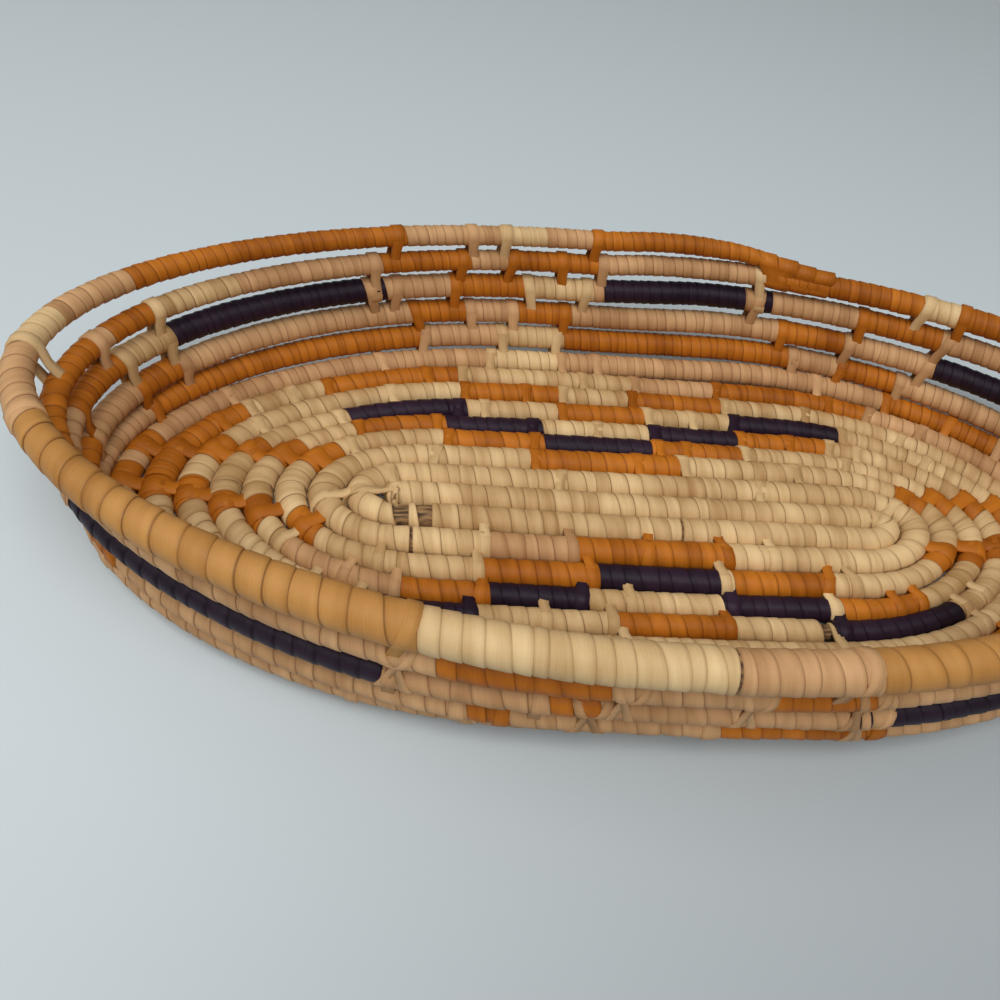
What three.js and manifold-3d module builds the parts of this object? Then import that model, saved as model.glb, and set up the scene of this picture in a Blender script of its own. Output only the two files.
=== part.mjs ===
// Oval basket bowl, coiled: one long grass bundle winds clockwise from a straight
// starting bar, round after round, up to the rim, and strips of palm leaf wrap it.
// Base rounds lie edge to edge. The upper wall is openwork: its rounds stand apart,
// and legs of leaf stitch each one to the round below.
// Millimetres, +Z up. The origin is on the ground under the middle of the bowl, +X
// runs along the oval to the right-hand end and +Y to the back.

import * as THREE from 'three';
import Module from 'manifold-3d';
import { mergeVertices } from 'three/addons/utils/BufferGeometryUtils.js';

// The coil's diameters over the leaf
const START_COIL = 10;
const BASE_COIL = 8.5;
const WALL_COIL = 9;
const UNDER_RIM_COIL = 7.7;
const RIM_COIL = 12.4;
const RIM_END_COIL = 7.3;
const TIP_COIL = 5;
// The base rounds are worn flat underneath by this share of the coil
const FLAT_SHARE = 0.1;
// What lies between one round and the next
const LAY_GAP = 0.4;
const TURN_UP_GAP = 0.6;
const OPEN_GAP = 2.4;
// The leaf, its clearances, and the stretch left bare
const LEAF = 1.1;
const FIT = 0.3;
const BARE_CORE = 5;
// How many times the coil goes round, and where its build changes, in turns
const TURNS = 13.37;
const START_TURNS = 2;
const BASE_TURNS = 4;
const BASE_END = 7;
const WALL_FROM = 9;
const OPEN_FROM = 10;
const OPENS_OVER = 0.8;
const THINS_UNDER_RIM = 11.85;
const UNDER_RIM_FROM = 12.05;
const RIM_FROM = 12.3;
const RIM_FULL = 12.6;
const RIM_THINS = 12.85;
const RIM_THIN_BY = 13.1;
const TIP_FROM = 13.28;
const TIP_TAPER = 0.16;
// Plan: half the starting bar, what is left of its straight at the rim and how late it
// goes, the bow of the sides, and the share of a round that each quarter end takes
const HALF_BAR = 86;
const RIM_STRAIGHT = 12;
const STRAIGHT_POWER = 1.3;
const BOW = 0.09;
const END_SHARE = 0.17;
// End rounds spread wider than side rounds, more at the left than at the right
const LEFT_SPREAD = 1.2;
const RIGHT_SPREAD = 1.1;
// The wall's rounds keep in by this much at the left-hand end, and the rim stands out
const LEFT_TUCK = 6;
const TUCK_FROM = 8.5;
const TUCK_FULL = 10;
const TUCK_GOES = 12.1;
const TUCK_GONE = 12.8;
// Profile: the middle stands up off the ground, and the wall's ends rise
const KICK_UP = 2;
const KICK_TURNS = 4;
const END_RISE = 7;
// The wall's slope in degrees, from one round to the next, by turns
const SLOPES = [
  [BASE_END, 0], [7.5, 3], [8, 9], [8.6, 25], [9.5, 53], [10.3, 74], [11.5, 83], [14, 85],
];
// Stitching legs of the openwork
const LEG_WIDTH = 5;
const LEG_THICK = 3.2;
const LEG_SPACING = 55;
const LEG_SINK = 0.5;
// Stepped pattern of the base: the middle block, each step, and where it is centred
const MIDDLE_BLOCK = 46;
const STEP = 37;
const BACK_CENTRE = -11;
const FRONT_CENTRE = 3;
const BACK_PATTERN = { side: 'back', round: 3, centre: BACK_CENTRE };
const FRONT_PATTERN = { side: 'front', round: 2, centre: FRONT_CENTRE };
// Purple bars of the openwork, from end to end along X as shares of half the bowl's length
const WALL_BARS = [
  { side: 'back', round: 11, from: -0.946, to: -0.578 },
  { side: 'back', round: 11, from: -0.061, to: 0.256 },
  { side: 'back', round: 10, from: 0.69, to: 0.912 },
  { side: 'front', round: 10, from: 0.4, to: 0.834 },
  { side: 'front', round: 10, from: -0.99, to: -0.478 },
];
// Rounds whose leaf ends at the right-hand end as well as at the left-hand one
const SPLIT_ROUNDS = [6, 7, 8, 9, 11, 12];
// The round at the foot of the wall ends a strip where it turns in to the left-hand end too
const FOOT_SEAM = 8.8;
// A run of one colour longer than this share of a round is named whole, not by its side
const WHOLE_SHARE = 0.75;
// The neighbouring round is looked for this many turns away
const LEAST_TURN_AWAY = 0.7;
const MOST_TURN_AWAY = 1.3;
// Stations closer than this, in turns, count as one
const STATION_MARGIN = 0.0005;
const SAME_TURN = 1e-6;
const FACET_MARGIN = 1e-8;
const TANGENT_STEP = 0.004;
const HALVINGS = 40;
// Facets: segments of a quarter end, of a side, and sides of the leaf and the bundle
const END_STEPS = 5;
const SIDE_STEPS = 2;
const LEAF_SIDES = 8;
const CORE_SIDES = 5;

const COLOURS = {
  natural: '#dcbd86',
  tan: '#c49a6c',
  orange: '#b5682a',
  purple: '#2b1c2e',
  grass: '#a98d5c',
};
const ROUND_COLOURS = [
  'natural', 'natural', 'natural', 'natural', 'natural', 'natural', 'natural',
  'tan', 'tan', 'orange', 'tan', 'tan', 'orange', 'orange',
];

const wasm = await Module();
wasm.setup();

const { lerp, smoothstep, clamp } = THREE.MathUtils;
const blend = (turn, from, to) => smoothstep(turn, from, to);

// Diameter over the leaf on the base, which thins once past the starting rounds
const baseDiameter = (turn) => lerp(START_COIL, BASE_COIL, blend(turn, START_TURNS, BASE_TURNS));

// Diameter over the leaf at a turn
function coilDiameter(turn) {
  const wall = lerp(baseDiameter(turn), WALL_COIL, blend(turn, WALL_FROM - 1, WALL_FROM));
  const under = lerp(wall, UNDER_RIM_COIL, blend(turn, THINS_UNDER_RIM, UNDER_RIM_FROM));
  const rim = lerp(under, RIM_COIL, blend(turn, RIM_FROM, RIM_FULL));
  const thinned = lerp(rim, RIM_END_COIL, blend(turn, RIM_THINS, RIM_THIN_BY));
  const end = lerp(thinned, TIP_COIL, blend(turn, TIP_FROM, TURNS));
  return lerp(TIP_COIL, end, clamp(turn / TIP_TAPER, 0, 1));
}

// Slope from the round below to this one, in radians
function slope(turn) {
  const i = SLOPES.findIndex(([at]) => at > turn);
  if (i < 1) return i === 0 ? 0 : THREE.MathUtils.degToRad(SLOPES.at(-1)[1]);
  const [t0, s0] = SLOPES[i - 1];
  const [t1, s1] = SLOPES[i];
  return THREE.MathUtils.degToRad(lerp(s0, s1, (turn - t0) / (t1 - t0)));
}

// Least gap from a round to its neighbours: wider where the section turns with the wall
const layGap = (turn) => LAY_GAP + TURN_UP_GAP * blend(turn, BASE_TURNS, BASE_END);

// Distance from the middle of the round below to the middle of this one. The rim's
// tip comes down on the round below.
function pitch(turn) {
  const below = turn < 1 + TIP_TAPER ? coilDiameter(1) : coilDiameter(turn - 1);
  const parted = blend(turn, OPEN_FROM - OPENS_OVER / 4, OPEN_FROM + OPENS_OVER);
  const down = blend(turn, TIP_FROM, TURNS);
  const open = (OPEN_GAP - TURN_UP_GAP) * parted * (1 - down);
  return (below + coilDiameter(turn)) / 2 + layGap(turn) + open;
}

// How far out and how high the coil has come
function build(turn) {
  if (turn < 1) return { out: pitch(1) * turn, rise: 0 };
  const below = build(turn - 1);
  return {
    out: below.out + pitch(turn) * Math.cos(slope(turn)),
    rise: below.rise + pitch(turn) * Math.sin(slope(turn)),
  };
}

const fullRise = build(TURNS).rise;
const halfLength = HALF_BAR + build(TURNS).out;

// Middle of the coil at a turn. A round starts at the left-hand end and goes by the
// back to the right-hand end, then by the front.
function coilPoint(turn) {
  const { out, rise } = build(turn);
  const part = turn % 1;
  const front = part >= 0.5;
  const half = part % 0.5;
  const straight = lerp(HALF_BAR, RIM_STRAIGHT, (turn / TURNS) ** STRAIGHT_POWER);
  const tucked = blend(turn, TUCK_FROM, TUCK_FULL) * (1 - blend(turn, TUCK_GOES, TUCK_GONE));
  const left = HALF_BAR + out * LEFT_SPREAD - LEFT_TUCK * tucked - straight;
  const right = HALF_BAR + out * RIGHT_SPREAD - straight;
  const nearEnd = front ? right : left;
  const farEnd = front ? left : right;
  let x;
  let y;
  if (half < END_SHARE) {
    const angle = (Math.PI / 2) * (half / END_SHARE);
    x = -straight - nearEnd * Math.cos(angle);
    y = out * Math.sin(angle);
  } else if (half > 0.5 - END_SHARE) {
    const angle = (Math.PI / 2) * ((0.5 - half) / END_SHARE);
    x = straight + farEnd * Math.cos(angle);
    y = out * Math.sin(angle);
  } else {
    x = lerp(-straight, straight, (half - END_SHARE) / (0.5 - 2 * END_SHARE));
    y = out;
  }
  const reach = straight + (x < 0 ? nearEnd : farEnd);
  y *= (1 + BOW * (1 - (x / reach) ** 2)) / (1 + BOW);
  const endRise = END_RISE * (rise / fullRise) * (x / reach) ** 2;
  const kick = KICK_UP * (1 - blend(turn, 0, KICK_TURNS));
  const z = baseDiameter(turn) / 2 - FLAT_SHARE * BASE_COIL + kick + rise + endRise;
  return new THREE.Vector3(front ? -x : x, front ? -y : y, z);
}

// Every turn where the coil has a station, the same ones on each round so that
// neighbouring rounds bend at the same places
const roundParts = [];
for (const start of [0, 0.5]) {
  for (let i = 0; i < END_STEPS; i++) {
    roundParts.push(start + END_SHARE * (i / END_STEPS));
  }
  for (let i = 0; i < SIDE_STEPS; i++) {
    roundParts.push(start + END_SHARE + (0.5 - 2 * END_SHARE) * (i / SIDE_STEPS));
  }
  for (let i = 0; i < END_STEPS; i++) {
    roundParts.push(start + 0.5 - END_SHARE + END_SHARE * (i / END_STEPS));
  }
}
const stationTurns = [];
for (let round = 0; round < Math.ceil(TURNS); round++) {
  for (const part of roundParts) {
    if (round + part < TURNS) stationTurns.push(round + part);
  }
}
stationTurns.push(TURNS, TURNS + TANGENT_STEP);
function turnsBetween(from, to) {
  const [low, high] = [from + STATION_MARGIN, to - STATION_MARGIN];
  return [from, ...stationTurns.filter((turn) => turn > low && turn < high), to];
}

// The stations before and after a turn, and how far it is from one to the other
function stationsRound(turn) {
  const after = stationTurns.findIndex((at) => at > turn + FACET_MARGIN);
  const [t0, t1] = [stationTurns[after - 1], stationTurns[after]];
  return [t0, t1, (turn - t0) / (t1 - t0)];
}

// Point on the faceted line of the coil
function facetPoint(turn) {
  const [t0, t1, part] = stationsRound(turn);
  return coilPoint(t0).lerp(coilPoint(t1), part);
}

// Nearest place to a point on the round before or after the one at a turn
function nearestOn(neighbour, turn, point) {
  const [from, to] = neighbour === 'before'
    ? [turn - MOST_TURN_AWAY, turn - LEAST_TURN_AWAY]
    : [turn + LEAST_TURN_AWAY, turn + MOST_TURN_AWAY];
  const turns = turnsBetween(Math.max(from, 0), Math.min(to, TURNS));
  let nearest = facetPoint(turns[0]);
  for (let i = 1; i < turns.length; i++) {
    const line = new THREE.Line3(facetPoint(turns[i - 1]), facetPoint(turns[i]));
    const near = line.closestPointToPoint(point, true, new THREE.Vector3());
    if (near.distanceTo(point) < nearest.distanceTo(point)) nearest = near;
  }
  return nearest;
}

// The leaf's diameter at a station, drawn in where neighbouring rounds crowd it
const leafCache = new Map();
function leafDiameter(turn) {
  if (leafCache.has(turn)) return leafCache.get(turn);
  const point = coilPoint(turn);
  let room = Infinity;
  if (turn > LEAST_TURN_AWAY) {
    room = Math.min(room, nearestOn('before', turn, point).distanceTo(point));
  }
  if (turn < TURNS - LEAST_TURN_AWAY) {
    room = Math.min(room, nearestOn('after', turn, point).distanceTo(point));
  }
  const diameter = Math.min(coilDiameter(turn), room - layGap(turn));
  leafCache.set(turn, diameter);
  return diameter;
}

// Half the leaf's diameter anywhere along the coil
function leafRadius(turn) {
  const [t0, t1, part] = stationsRound(turn);
  return lerp(leafDiameter(t0), leafDiameter(t1), part) / 2;
}

// Directions across the coil at a turn: outward on the level, and up
function across(turn) {
  const before = coilPoint(Math.max(turn - TANGENT_STEP, 0));
  const after = coilPoint(turn + TANGENT_STEP);
  const along = after.sub(before).normalize();
  const outward = new THREE.Vector3(0, 0, 1).cross(along).normalize();
  return { along, outward, up: new THREE.Vector3().crossVectors(along, outward).normalize() };
}

// Which way the section leans: to the round before on the base, and half way between
// the rounds below and above in the wall
const lean = (turn) => {
  const share = 0.5 * blend(turn, BASE_END, WALL_FROM);
  return lerp(slope(turn), slope(Math.min(turn + 1, TURNS)), share);
};

// A ring of points round the coil, flat where it would reach below the ground. Between
// two stations it lies on the straight facets from one station's ring to the next, so
// that whatever is cut there nests.
function ring(turn, sides, radiusAt, offset) {
  const [t0, t1, part] = stationsRound(turn);
  const rings = [t0, t1].map((station) => {
    const { outward, up } = across(station);
    const radius = radiusAt(station);
    return Array.from({ length: sides }, (_, i) => {
      const angle = lean(station) + offset + (2 * Math.PI * i) / sides;
      return coilPoint(station)
        .addScaledVector(outward, Math.cos(angle) * radius)
        .addScaledVector(up, Math.sin(angle) * radius);
    });
  });
  for (const point of rings.flat()) point.z = Math.max(point.z, 0);
  return rings[0].map((point, i) => point.lerp(rings[1][i], part));
}

const leafRing = (turn) => {
  const half = Math.PI / LEAF_SIDES;
  return ring(turn, LEAF_SIDES, (at) => leafDiameter(at) / 2 / Math.cos(half), half);
};
const boreRadius = (turn) => leafDiameter(turn) / 2 - LEAF;
const boreRing = (turn) => ring(turn, CORE_SIDES, boreRadius, 0);
const coreRing = (turn) => {
  const clearance = FIT / Math.cos(Math.PI / CORE_SIDES);
  return ring(turn, CORE_SIDES, (at) => boreRadius(at) - clearance, 0);
};

// Geometry from points and triangles, facing out whichever way they were wound
function closedGeometry(points, triangles) {
  const geometry = new THREE.BufferGeometry().setFromPoints(points);
  let volume = 0;
  for (const [a, b, c] of triangles) {
    volume += points[a].dot(new THREE.Vector3().crossVectors(points[b], points[c]));
  }
  geometry.setIndex(triangles.flatMap(([a, b, c]) => (volume > 0 ? [a, b, c] : [a, c, b])));
  return geometry;
}

// Side faces of a stack of rings that start at an index and are a stride apart
function skin(triangles, count, stride, start, sides, inward) {
  for (let k = 0; k + 1 < count; k++) {
    for (let i = 0; i < sides; i++) {
      const a = start + k * stride + i;
      const b = start + k * stride + ((i + 1) % sides);
      const [c, d] = [a + stride, b + stride];
      triangles.push(...(inward ? [[a, c, b], [b, c, d]] : [[a, b, c], [b, d, c]]));
    }
  }
}

// A sleeve of leaf between two turns, with the bore that the bundle runs through
function sleeveGeometry(turns) {
  const points = turns.flatMap((turn) => [...leafRing(turn), ...boreRing(turn)]);
  const stride = LEAF_SIDES + CORE_SIDES;
  const triangles = [];
  skin(triangles, turns.length, stride, 0, LEAF_SIDES, false);
  skin(triangles, turns.length, stride, LEAF_SIDES, CORE_SIDES, true);
  const flat = (sides, offset) => Array.from({ length: sides }, (_, i) => {
    const angle = offset + (2 * Math.PI * i) / sides;
    return new THREE.Vector2(Math.cos(angle), Math.sin(angle));
  });
  // The end caps: only the order of the points counts, so the hole's outline is half size
  const outer = flat(LEAF_SIDES, Math.PI / LEAF_SIDES);
  const hole = flat(CORE_SIDES, 0).map((point) => point.divideScalar(2));
  const cap = THREE.ShapeUtils.triangulateShape(outer, [hole]);
  const last = (turns.length - 1) * stride;
  for (const [a, b, c] of cap) {
    triangles.push([a, c, b], [last + a, last + b, last + c]);
  }
  return closedGeometry(points, triangles);
}

// The grass bundle, one unbroken tube from the starting bar to the rim's end
function bundleGeometry(turns) {
  const points = turns.flatMap(coreRing);
  const triangles = [];
  skin(triangles, turns.length, CORE_SIDES, 0, CORE_SIDES, false);
  const last = (turns.length - 1) * CORE_SIDES;
  for (let i = 1; i + 1 < CORE_SIDES; i++) {
    triangles.push([0, i + 1, i], [last, last + i, last + i + 1]);
  }
  return closedGeometry(points, triangles);
}

function toSolid(geometry) {
  const bare = new THREE.BufferGeometry();
  bare.setAttribute('position', geometry.getAttribute('position'));
  bare.setIndex(geometry.getIndex());
  const merged = mergeVertices(geometry.getIndex() ? bare : bare.toNonIndexed(), 1e-4);
  return new wasm.Manifold(new wasm.Mesh({
    numProp: 3,
    vertProperties: new Float32Array(merged.getAttribute('position').array),
    triVerts: new Uint32Array(merged.getIndex().array),
  }));
}

function toGeometry(solid) {
  const mesh = solid.getMesh();
  const geometry = new THREE.BufferGeometry();
  geometry.setAttribute('position', new THREE.BufferAttribute(mesh.vertProperties, 3));
  geometry.setIndex(new THREE.BufferAttribute(mesh.triVerts, 1));
  return geometry;
}

// A leg of leaf that stitches the coil at a turn to the round below it
function legGeometry(turn) {
  const top = facetPoint(turn);
  const { along } = across(turn);
  const down = nearestOn('before', turn, top).sub(top);
  const distance = down.length();
  down.normalize();
  const startAt = leafRadius(turn) - LEG_SINK;
  const endAt = distance - leafRadius(turn - 1) / Math.cos(Math.PI / LEAF_SIDES) - FIT;
  const level = new THREE.Vector3().crossVectors(along, down).normalize();
  const run = new THREE.Vector3().crossVectors(level, down);
  const leg = new THREE.BoxGeometry(LEG_WIDTH, LEG_THICK, endAt - startAt);
  leg.applyMatrix4(new THREE.Matrix4().makeBasis(run, level, down));
  const middle = top.clone().addScaledVector(down, (startAt + endAt) / 2);
  return leg.translate(middle.x, middle.y, middle.z);
}

// The turn on one side of a round where the coil passes a place along X
function turnAt(round, side, x) {
  let low = round + (side === 'back' ? 0 : 0.5);
  let high = low + 0.5;
  for (let i = 0; i < HALVINGS; i++) {
    const mid = (low + high) / 2;
    const short = side === 'back' ? coilPoint(mid).x < x : coilPoint(mid).x > x;
    if (short) low = mid;
    else high = mid;
  }
  return low;
}

// Purple blocks of the stepped pattern: one in the middle, then a pair on each
// round further out
function patternBlocks({ side, round, centre }) {
  const edges = [MIDDLE_BLOCK / 2, MIDDLE_BLOCK / 2 + STEP, MIDDLE_BLOCK / 2 + 2 * STEP];
  const blocks = [{ side, round, from: centre - edges[0], to: centre + edges[0] }];
  for (const i of [1, 2]) {
    const at = round + i;
    blocks.push({ side, round: at, from: centre - edges[i], to: centre - edges[i - 1] });
    blocks.push({ side, round: at, from: centre + edges[i - 1], to: centre + edges[i] });
  }
  return blocks;
}

const purpleRuns = [
  ...patternBlocks(BACK_PATTERN),
  ...patternBlocks(FRONT_PATTERN),
  ...WALL_BARS.map((bar) => ({ ...bar, from: bar.from * halfLength, to: bar.to * halfLength })),
].map(({ side, round, from, to }) => {
  const ends = [turnAt(round, side, from), turnAt(round, side, to)];
  return { side, from: Math.min(...ends), to: Math.max(...ends) };
}).sort((a, b) => a.from - b.from);

// Other places where one strip of leaf ends and the next begins
const seams = [];
for (let round = 1; round < TURNS; round++) {
  seams.push(round);
  if (SPLIT_ROUNDS.includes(round)) seams.push(round + 0.5);
}
seams.push(FOOT_SEAM, TURNS);
seams.sort((a, b) => a - b);

// All the wrapped runs in order, plain and purple
const runs = [];
let at = 0;
for (const purple of [...purpleRuns, { from: TURNS, to: TURNS }]) {
  for (const seam of seams) {
    if (seam > at && seam < purple.from) {
      runs.push({ from: at, to: seam, colour: ROUND_COLOURS[Math.floor(at)] });
      at = seam;
    }
  }
  runs.push({ from: at, to: purple.from, colour: ROUND_COLOURS[Math.floor(at)] });
  if (purple.to > purple.from) runs.push({ ...purple, colour: 'purple' });
  at = purple.to;
}

// Length of the faceted line between two turns
function coilLength(from, to) {
  const turns = turnsBetween(from, to);
  let length = 0;
  for (let i = 1; i < turns.length; i++) {
    length += facetPoint(turns[i - 1]).distanceTo(facetPoint(turns[i]));
  }
  return length;
}

// The turn that lies some millimetres further along the coil
function turnAfter(from, length) {
  let low = from;
  let high = Math.min(from + 1, TURNS);
  for (let i = 0; i < HALVINGS; i++) {
    const mid = (low + high) / 2;
    if (coilLength(from, mid) < length) low = mid;
    else high = mid;
  }
  return low;
}

const part = new THREE.Group();
function addPiece(name, geometry, colour) {
  const material = new THREE.MeshStandardMaterial({
    color: COLOURS[colour],
    roughness: colour === 'purple' ? 0.45 : 0.6,
    metalness: 0,
  });
  const mesh = new THREE.Mesh(geometry, material);
  mesh.name = name;
  part.add(mesh);
}

// The bundle shows bare beside the front pattern's right-hand outer block
const bareAt = purpleRuns.find(({ side, from }) => (
  side === 'front' && from > FRONT_PATTERN.round + 2
)).to;

const counts = new Map();
for (const run of runs) {
  const round = Math.floor(run.from + SAME_TURN);
  const side = (run.from + run.to) / 2 % 1 < 0.5 ? 'back' : 'front';
  const where = run.to - run.from > WHOLE_SHARE ? 'whole' : side;
  const stem = `round_${String(round).padStart(2, '0')}_${where}_${run.colour}`;
  counts.set(stem, (counts.get(stem) ?? 0) + 1);
  const name = counts.get(stem) > 1 ? `${stem}_${counts.get(stem)}` : stem;
  const bare = Math.abs(run.from - bareAt) < SAME_TURN ? BARE_CORE : FIT;
  const from = run.from === 0 ? 0 : turnAfter(run.from, bare);
  const to = run.to;
  let geometry = sleeveGeometry(turnsBetween(from, to));
  if (from > OPEN_FROM) {
    const length = coilLength(from, to);
    const legs = Math.max(2, Math.round(length / LEG_SPACING));
    let solid = toSolid(geometry);
    for (let i = 0; i < legs; i++) {
      const along = lerp(LEG_WIDTH, length - LEG_WIDTH, i / (legs - 1));
      solid = solid.add(toSolid(legGeometry(turnAfter(from, along))));
    }
    geometry = toGeometry(solid);
  }
  addPiece(name, geometry, run.colour);
}

// The bundle stops a little inside the leaf at both tips
const tipInset = turnAfter(0, FIT);
const bundleTurns = turnsBetween(tipInset, TURNS - tipInset);
addPiece('foundation_bundle', bundleGeometry(bundleTurns), 'grass');

// Least gap from the bundle to itself, from each of its stations to the round before
let bundleGap = Infinity;
for (const turn of bundleTurns.filter((value) => value > 1)) {
  const point = facetPoint(turn);
  const distance = nearestOn('before', turn, point).distanceTo(point);
  bundleGap = Math.min(bundleGap, distance - boreRadius(turn) - boreRadius(turn - 1));
}
console.log(`Least gap from the bundle to itself: ${bundleGap.toFixed(2)} mm`);

// The origin goes on the ground under the middle of the bowl's box
const box = new THREE.Box3().setFromObject(part);
const middle = box.getCenter(new THREE.Vector3());
part.position.set(-middle.x, -middle.y, 0);
console.log(`Moved by ${part.position.x.toFixed(3)}, ${part.position.y.toFixed(3)} mm`);
const sides = box.getSize(new THREE.Vector3()).toArray();
console.log(`Size ${sides.map((side) => side.toFixed(1)).join(' x ')} mm`);

export default part;
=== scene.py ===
import bpy
import numpy as np
from mathutils import Matrix, Vector


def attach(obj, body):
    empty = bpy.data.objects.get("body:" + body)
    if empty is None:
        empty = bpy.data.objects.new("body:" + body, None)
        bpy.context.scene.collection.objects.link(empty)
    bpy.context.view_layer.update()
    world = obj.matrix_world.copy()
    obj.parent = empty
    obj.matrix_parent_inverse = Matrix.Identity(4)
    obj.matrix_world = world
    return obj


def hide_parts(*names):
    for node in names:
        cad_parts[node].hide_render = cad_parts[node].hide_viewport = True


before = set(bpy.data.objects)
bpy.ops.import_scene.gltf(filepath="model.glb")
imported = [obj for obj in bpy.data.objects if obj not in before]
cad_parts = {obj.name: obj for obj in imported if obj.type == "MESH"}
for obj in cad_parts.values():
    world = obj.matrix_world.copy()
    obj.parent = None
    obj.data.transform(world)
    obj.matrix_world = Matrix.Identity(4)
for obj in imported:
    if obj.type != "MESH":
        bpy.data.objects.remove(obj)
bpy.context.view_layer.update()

# The grass bundle: one long rope of dry stems that starts as a straight bar in the
# middle of the base and winds clockwise, round after round, up to the rim. It is hidden
# in the leaf nearly everywhere, and every wrap and tie is laid along its course.
START_COIL = 0.010
BASE_COIL = 0.0085
WALL_COIL = 0.009
UNDER_RIM_COIL = 0.0077
RIM_COIL = 0.0124
RIM_END_COIL = 0.0073
TIP_COIL = 0.005
FLAT_SHARE = 0.1
LAY_GAP = 0.0004
TURN_UP_GAP = 0.0006
OPEN_GAP = 0.0024
LEAF_THICKNESS = 0.0014
TURNS = 13.37
START_TURNS = 2
BASE_TURNS = 4
BASE_END = 7
WALL_FROM = 9
OPEN_FROM = 10
OPENS_OVER = 0.8
THINS_UNDER_RIM = 11.85
UNDER_RIM_FROM = 12.05
RIM_FROM = 12.3
RIM_FULL = 12.6
RIM_THINS = 12.85
RIM_THIN_BY = 13.1
TIP_FROM = 13.33
SINKS_FROM = 13.345
TIP_SINKS_BY = 0.0043
TIP_TAPER = 0.16
HALF_BAR = 0.086
RIM_STRAIGHT = 0.012
STRAIGHT_POWER = 1.3
BOW = 0.09
END_SHARE = 0.17
LEFT_SPREAD = 1.2
RIGHT_SPREAD = 1.1
LEFT_TUCK = 0.006
TUCK_FROM = 8.5
TUCK_FULL = 10
TUCK_GOES = 12.1
TUCK_GONE = 12.8
KICK_UP = 0.002
KICK_TURNS = 4
END_RISE = 0.007
SLOPE_TURNS = (BASE_END, 7.5, 8, 8.6, 9.5, 10.3, 11.5, 14)
SLOPE_DEGREES = (0, 3, 9, 25, 53, 74, 83, 85)
MIDDLE_TO_ORIGIN = (0.004488, 0.001419, 0)
NEIGHBOUR_FROM = 0.7
NEIGHBOUR_TO = 1.3
GAP_KEPT = 0.3
FULLER_ENDS = 0.3
ENDS_SHARPNESS = 2.2
LEAST_RADIUS = 0.0034
STATIONS = 400
GROUND = 0.0001


def blend(turn, low, high):
    share = np.clip((turn - low) / (high - low), 0, 1)
    return share * share * (3 - 2 * share)


def mix(low, high, share):
    return low + (high - low) * share


def base_diameter(turn):
    return mix(START_COIL, BASE_COIL, blend(turn, START_TURNS, BASE_TURNS))


def coil_diameter(turn):
    wall = mix(base_diameter(turn), WALL_COIL, blend(turn, WALL_FROM - 1, WALL_FROM))
    under = mix(wall, UNDER_RIM_COIL, blend(turn, THINS_UNDER_RIM, UNDER_RIM_FROM))
    rim = mix(under, RIM_COIL, blend(turn, RIM_FROM, RIM_FULL))
    thinned = mix(rim, RIM_END_COIL, blend(turn, RIM_THINS, RIM_THIN_BY))
    end = mix(thinned, TIP_COIL, blend(turn, TIP_FROM, TURNS))
    return mix(TIP_COIL, end, np.clip(turn / TIP_TAPER, 0, 1))


turns = np.arange(round(TURNS * STATIONS) + 1) / STATIONS
slopes = np.radians(np.interp(turns, SLOPE_TURNS, SLOPE_DEGREES))
diameters = coil_diameter(turns)
lay_gaps = LAY_GAP + TURN_UP_GAP * blend(turns, BASE_TURNS, BASE_END)
below = coil_diameter(np.where(turns < 1 + TIP_TAPER, 1.0, turns - 1))
parted = blend(turns, OPEN_FROM - OPENS_OVER / 4, OPEN_FROM + OPENS_OVER)
coming_down = blend(turns, TIP_FROM, TURNS)
open_gaps = (OPEN_GAP - TURN_UP_GAP) * parted * (1 - coming_down)
pitches = (below + diameters) / 2 + lay_gaps + open_gaps
outs = pitches[STATIONS] * turns
rises = np.zeros(len(turns))
for first in range(STATIONS, len(turns), STATIONS):
    here = slice(first, min(first + STATIONS, len(turns)))
    there = slice(here.start - STATIONS, here.stop - STATIONS)
    outs[here] = outs[there] + pitches[here] * np.cos(slopes[here])
    rises[here] = rises[there] + pitches[here] * np.sin(slopes[here])

# A round starts at the left-hand end and goes by the back to the right, then by the front
part = turns % 1
in_front = part >= 0.5
half = part % 0.5
straight = mix(HALF_BAR, RIM_STRAIGHT, (turns / TURNS) ** STRAIGHT_POWER)
tucked = blend(turns, TUCK_FROM, TUCK_FULL) * (1 - blend(turns, TUCK_GOES, TUCK_GONE))
left = HALF_BAR + outs * LEFT_SPREAD - LEFT_TUCK * tucked - straight
right = HALF_BAR + outs * RIGHT_SPREAD - straight
near_end = np.where(in_front, right, left)
far_end = np.where(in_front, left, right)
leaving = np.pi / 2 * half / END_SHARE
coming = np.pi / 2 * (0.5 - half) / END_SHARE
at_start = half < END_SHARE
at_end = half > 0.5 - END_SHARE
along_side = mix(-straight, straight, (half - END_SHARE) / (0.5 - 2 * END_SHARE))
x = np.where(at_start, -straight - near_end * np.cos(leaving), along_side)
x = np.where(at_end, straight + far_end * np.cos(coming), x)
y = outs * np.where(at_start, np.sin(leaving), np.where(at_end, np.sin(coming), 1))
reach = straight + np.where(x < 0, near_end, far_end)
y = y * (1 + BOW * (1 - (x / reach) ** 2)) / (1 + BOW)
end_rises = END_RISE * rises / rises[-1] * (x / reach) ** 2
kicks = KICK_UP * (1 - blend(turns, 0, KICK_TURNS))
z = base_diameter(turns) / 2 - FLAT_SHARE * BASE_COIL + kicks + rises + end_rises
points = np.stack([np.where(in_front, -x, x), np.where(in_front, -y, y), z], 1)
points = points + MIDDLE_TO_ORIGIN

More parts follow.
